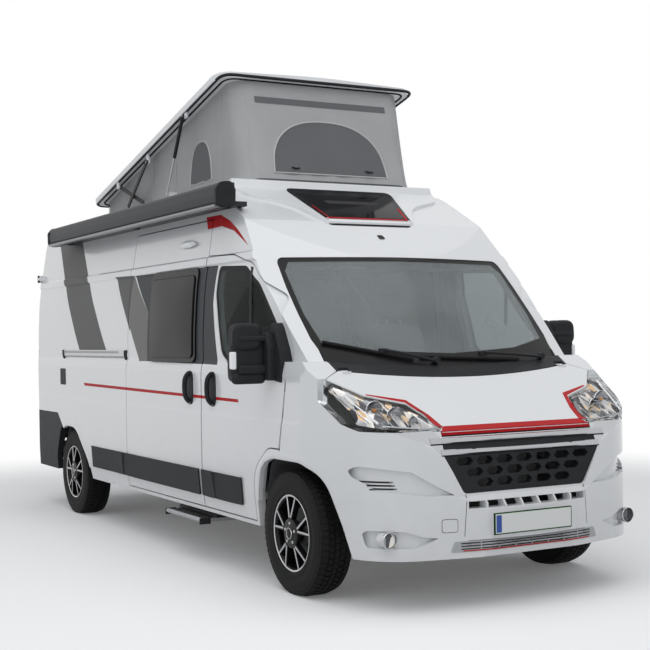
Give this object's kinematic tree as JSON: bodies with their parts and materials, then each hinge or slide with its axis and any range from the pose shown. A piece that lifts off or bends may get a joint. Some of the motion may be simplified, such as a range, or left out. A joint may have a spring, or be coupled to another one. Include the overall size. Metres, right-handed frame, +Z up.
{
  "type": "camper van",
  "caption": "Long high-roofed panel van made into a camper, with a raised pop-up sleeping roof, side awning, sliding side door and an opening bonnet, cab doors and rear doors.",
  "frame": {"origin": "on the ground under the middle of the vehicle, on its plane of symmetry", "axes": "+Z up, the nose towards -Y, the vehicle's right side towards -X"},
  "size_m": [2.5204, 5.998, 3.3157],
  "materials": {
    "white_paint": "gloss",
    "black_plastic": "satin",
    "grey_plastic": "matt",
    "chrome": "polished",
    "lamp_clear": "clear",
    "lamp_red": "gloss",
    "dark_glass": "tinted",
    "screen_glass": "clear",
    "tyre": "matt",
    "alloy": "machined and black",
    "steel_black": "satin",
    "steel_bare": "satin",
    "iron": "rough",
    "tent_fabric": "woven",
    "lining": "matt",
    "seat_fabric": "woven",
    "awning_grey": "satin",
    "grp_white": "gloss"
  },
  "bodies": {
    "van_body": {"front_bumper": "white_paint", "chrome_bars": "chrome", "grille": "black_plastic", "headlamps": "lamp_clear", "front_wings": "white_paint", "scuttle": "black_plastic", "windscreen": "screen_glass", "side_right": "white_paint", "side_left": "white_paint", "side_windows_left": "dark_glass", "sliding_door": "white_paint", "sliding_door_window": "dark_glass", "roof_shell": "white_paint", "rear_bumper": "black_plastic", "tail_lamps": "lamp_red", "inner_frame": "lining", "floor_pan": "lining", "wheel_housings": "grey_plastic", "chassis_frame": "steel_black", "engine_block": "iron", "tanks": "grey_plastic", "front_suspension": "steel_black", "rear_axle": "steel_black", "roof_base": "grp_white", "skylight": "dark_glass", "tent": "tent_fabric", "awning": "awning_grey", "dashboard": "grey_plastic", "cab_seats": "seat_fabric", "steering_wheel": "black_plastic", "slide_rail": "steel_bare"},
    "cab_door_right": {"cab_door_right": "white_paint", "cab_glass_right": "screen_glass", "mirror_right": "black_plastic"},
    "cab_door_left": {"cab_door_left": "white_paint", "cab_glass_left": "screen_glass", "mirror_left": "black_plastic"},
    "rear_door_right": {"rear_door_right": "white_paint", "rear_glass_right": "dark_glass"},
    "rear_door_left": {"rear_door_left": "white_paint", "rear_glass_left": "dark_glass"},
    "bonnet": {"bonnet": "white_paint"},
    "pop_roof": {"pop_roof": "grp_white"},
    "strut_cylinders": {"strut_cylinders": "steel_black"},
    "strut_rods": {"strut_rods": "steel_bare"},
    "roof_arms_front": {"roof_arms_front": "steel_black"},
    "roof_arms_rear": {"roof_arms_rear": "steel_black"},
    "entry_step": {"entry_step": "steel_bare"},
    "knuckle_right": {"knuckle_right": "iron"},
    "knuckle_left": {"knuckle_left": "iron"},
    "wheel_front_right": {"tyre_front_right": "tyre", "rim_front_right": "alloy"},
    "wheel_front_left": {"tyre_front_left": "tyre", "rim_front_left": "alloy"},
    "wheel_rear_right": {"tyre_rear_right": "tyre", "rim_rear_right": "alloy"},
    "wheel_rear_left": {"tyre_rear_left": "tyre", "rim_rear_left": "alloy"}
  },
  "joints": [
    {"name": "cab_door_right_hinge", "type": "hinge", "parent": "van_body", "child": "cab_door_right", "pos_m": [-0.988, -1.941, 1.155], "axis": [0, 0, 1], "range_deg": [0, 70]},
    {"name": "rear_door_right_hinge", "type": "hinge", "parent": "van_body", "child": "rear_door_right", "pos_m": [-0.964, 2.991, 1.43], "axis": [0, 0, 1], "range_deg": [0, 180]},
    {"name": "cab_door_left_hinge", "type": "hinge", "parent": "van_body", "child": "cab_door_left", "pos_m": [0.988, -1.941, 1.155], "axis": [0, 0, 1], "range_deg": [-70, 0]},
    {"name": "rear_door_left_hinge", "type": "hinge", "parent": "van_body", "child": "rear_door_left", "pos_m": [0.964, 2.991, 1.43], "axis": [0, 0, 1], "range_deg": [-180, 0]},
    {"name": "bonnet_hinge", "type": "hinge", "parent": "van_body", "child": "bonnet", "pos_m": [0, -2.3, 1.27], "axis": [1, 0, 0], "range_deg": [-50, 0]},
    {"name": "roof_hinge", "type": "hinge", "parent": "van_body", "child": "pop_roof", "pos_m": [0, 1.9, 2.6], "axis": [1, 0, 0], "range_deg": [0, 13.2], "deforming": ["tent"]},
    {"name": "strut_hinge", "type": "hinge", "parent": "pop_roof", "child": "strut_cylinders", "pos_m": [0, -0.09016, 3.06165], "axis": [1, 0, 0], "range_deg": [0, 37.11]},
    {"name": "strut_slide", "type": "slide", "parent": "strut_cylinders", "child": "strut_rods", "axis": [0, -0.5276, 0.8495], "range_m": [0, 0.2325]},
    {"name": "front_arm_hinge", "type": "hinge", "parent": "pop_roof", "child": "roof_arms_front", "pos_m": [0, 0.6932, 2.83683], "axis": [1, 0, 0], "range_deg": [0, 20.76]},
    {"name": "rear_arm_hinge", "type": "hinge", "parent": "pop_roof", "child": "roof_arms_rear", "pos_m": [0, 1.34358, 2.7151], "axis": [1, 0, 0], "range_deg": [-27.18, 0]},
    {"name": "step_slide", "type": "slide", "parent": "van_body", "child": "entry_step", "axis": [-1, 0, 0], "range_m": [0, 0.2]},
    {"name": "steer_right", "type": "hinge", "parent": "van_body", "child": "knuckle_right", "pos_m": [-0.835, -2.051, 0.352], "axis": [0, 0, 1], "range_deg": [-35, 35]},
    {"name": "spin_front_right", "type": "hinge", "parent": "knuckle_right", "child": "wheel_front_right", "pos_m": [-0.885, -2.051, 0.352], "axis": [1, 0, 0], "continuous": true},
    {"name": "spin_rear_right", "type": "hinge", "parent": "van_body", "child": "wheel_rear_right", "pos_m": [-0.87, 1.984, 0.352], "axis": [1, 0, 0], "continuous": true},
    {"name": "steer_left", "type": "hinge", "parent": "van_body", "child": "knuckle_left", "pos_m": [0.835, -2.051, 0.352], "axis": [0, 0, 1], "range_deg": [-35, 35]},
    {"name": "spin_front_left", "type": "hinge", "parent": "knuckle_left", "child": "wheel_front_left", "pos_m": [0.885, -2.051, 0.352], "axis": [1, 0, 0], "continuous": true},
    {"name": "spin_rear_left", "type": "hinge", "parent": "van_body", "child": "wheel_rear_left", "pos_m": [0.87, 1.984, 0.352], "axis": [1, 0, 0], "continuous": true}
  ],
  "couplings": [
    {"joint": "strut_hinge", "follows": "roof_hinge", "ratio": 2.8075},
    {"joint": "strut_slide", "follows": "roof_hinge", "m_per_rad": 1.0069},
    {"joint": "front_arm_hinge", "follows": "roof_hinge", "ratio": 1.5688},
    {"joint": "rear_arm_hinge", "follows": "roof_hinge", "ratio": -2.0555},
    {"joint": "steer_right", "follows": "steer_left", "ratio": 1}
  ]
}
